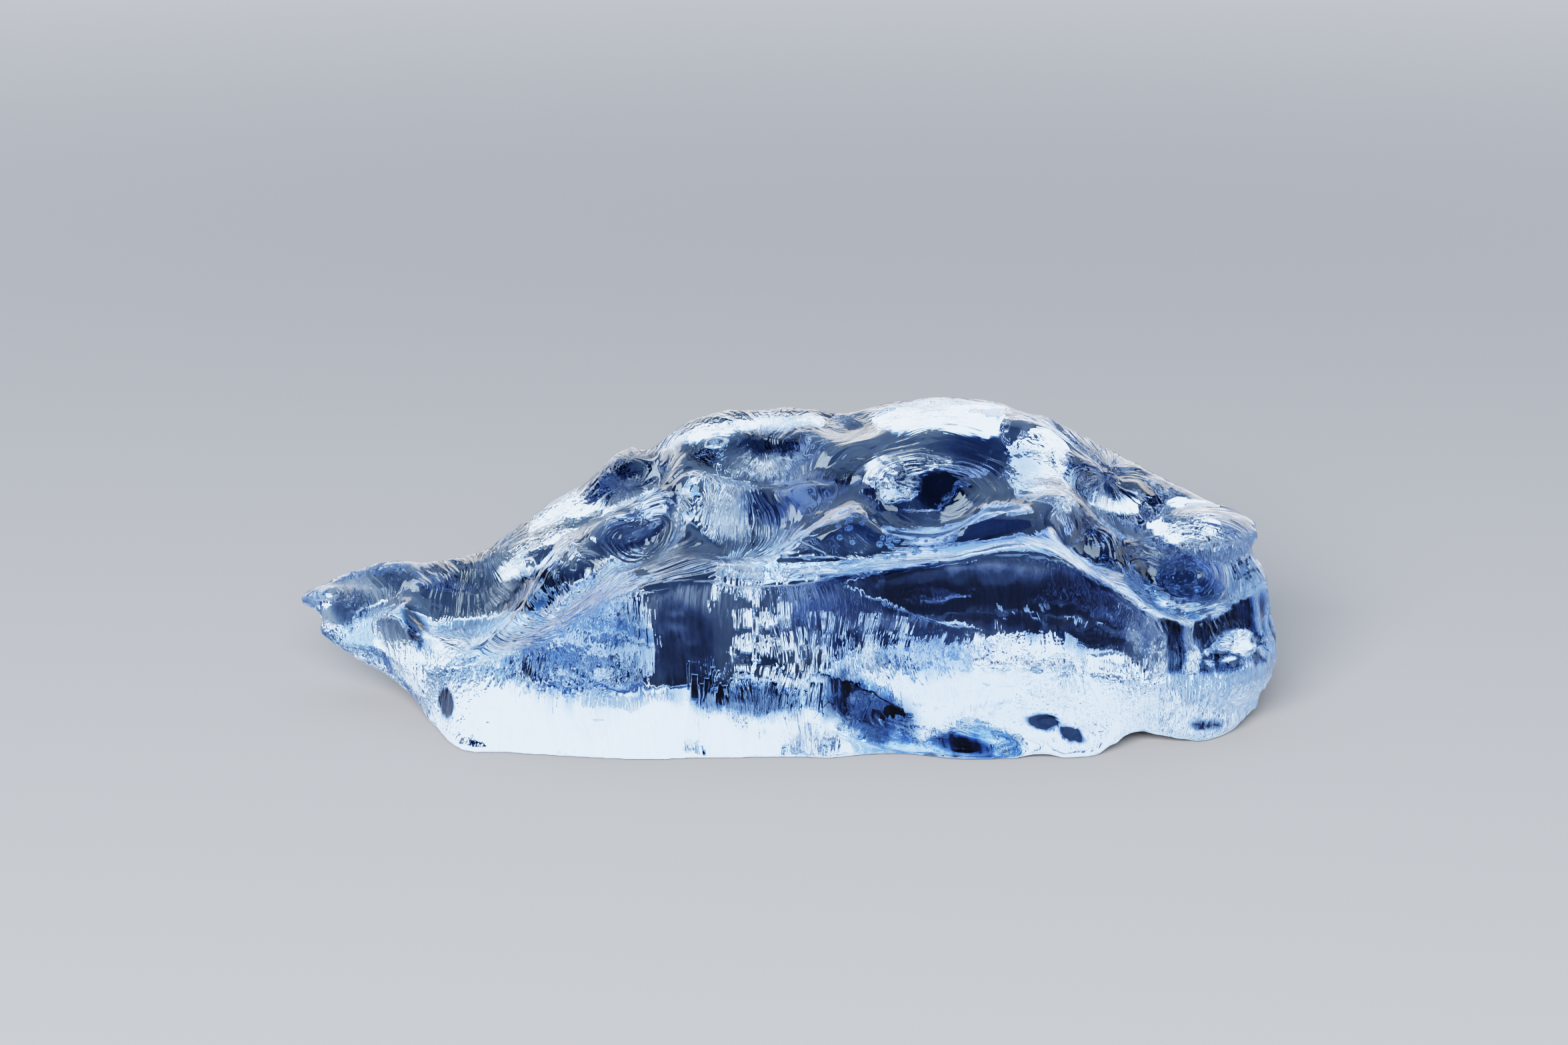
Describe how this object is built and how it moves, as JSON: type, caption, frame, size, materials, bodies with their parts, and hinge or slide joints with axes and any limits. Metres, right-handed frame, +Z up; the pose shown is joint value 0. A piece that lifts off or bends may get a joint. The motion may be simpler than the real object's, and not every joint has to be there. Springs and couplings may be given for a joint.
{
  "type": "ice block",
  "caption": "Clear melted chunk of ice on a flat base, with a wavy ledge, scooped melt hollows and a raised beak at one end.",
  "frame": {"origin": "middle of the bounding box, on the flat base", "axes": "+X along the length, away from the raised beak; +Y to the back, away from the steep front wall; +Z up"},
  "size_m": [0.1794, 0.0882, 0.0534],
  "materials": {
    "ice": "wet, melt-polished clear ice with a faint blue tint"
  },
  "bodies": {
    "root": {"ice_block": "ice"}
  },
  "joints": []
}
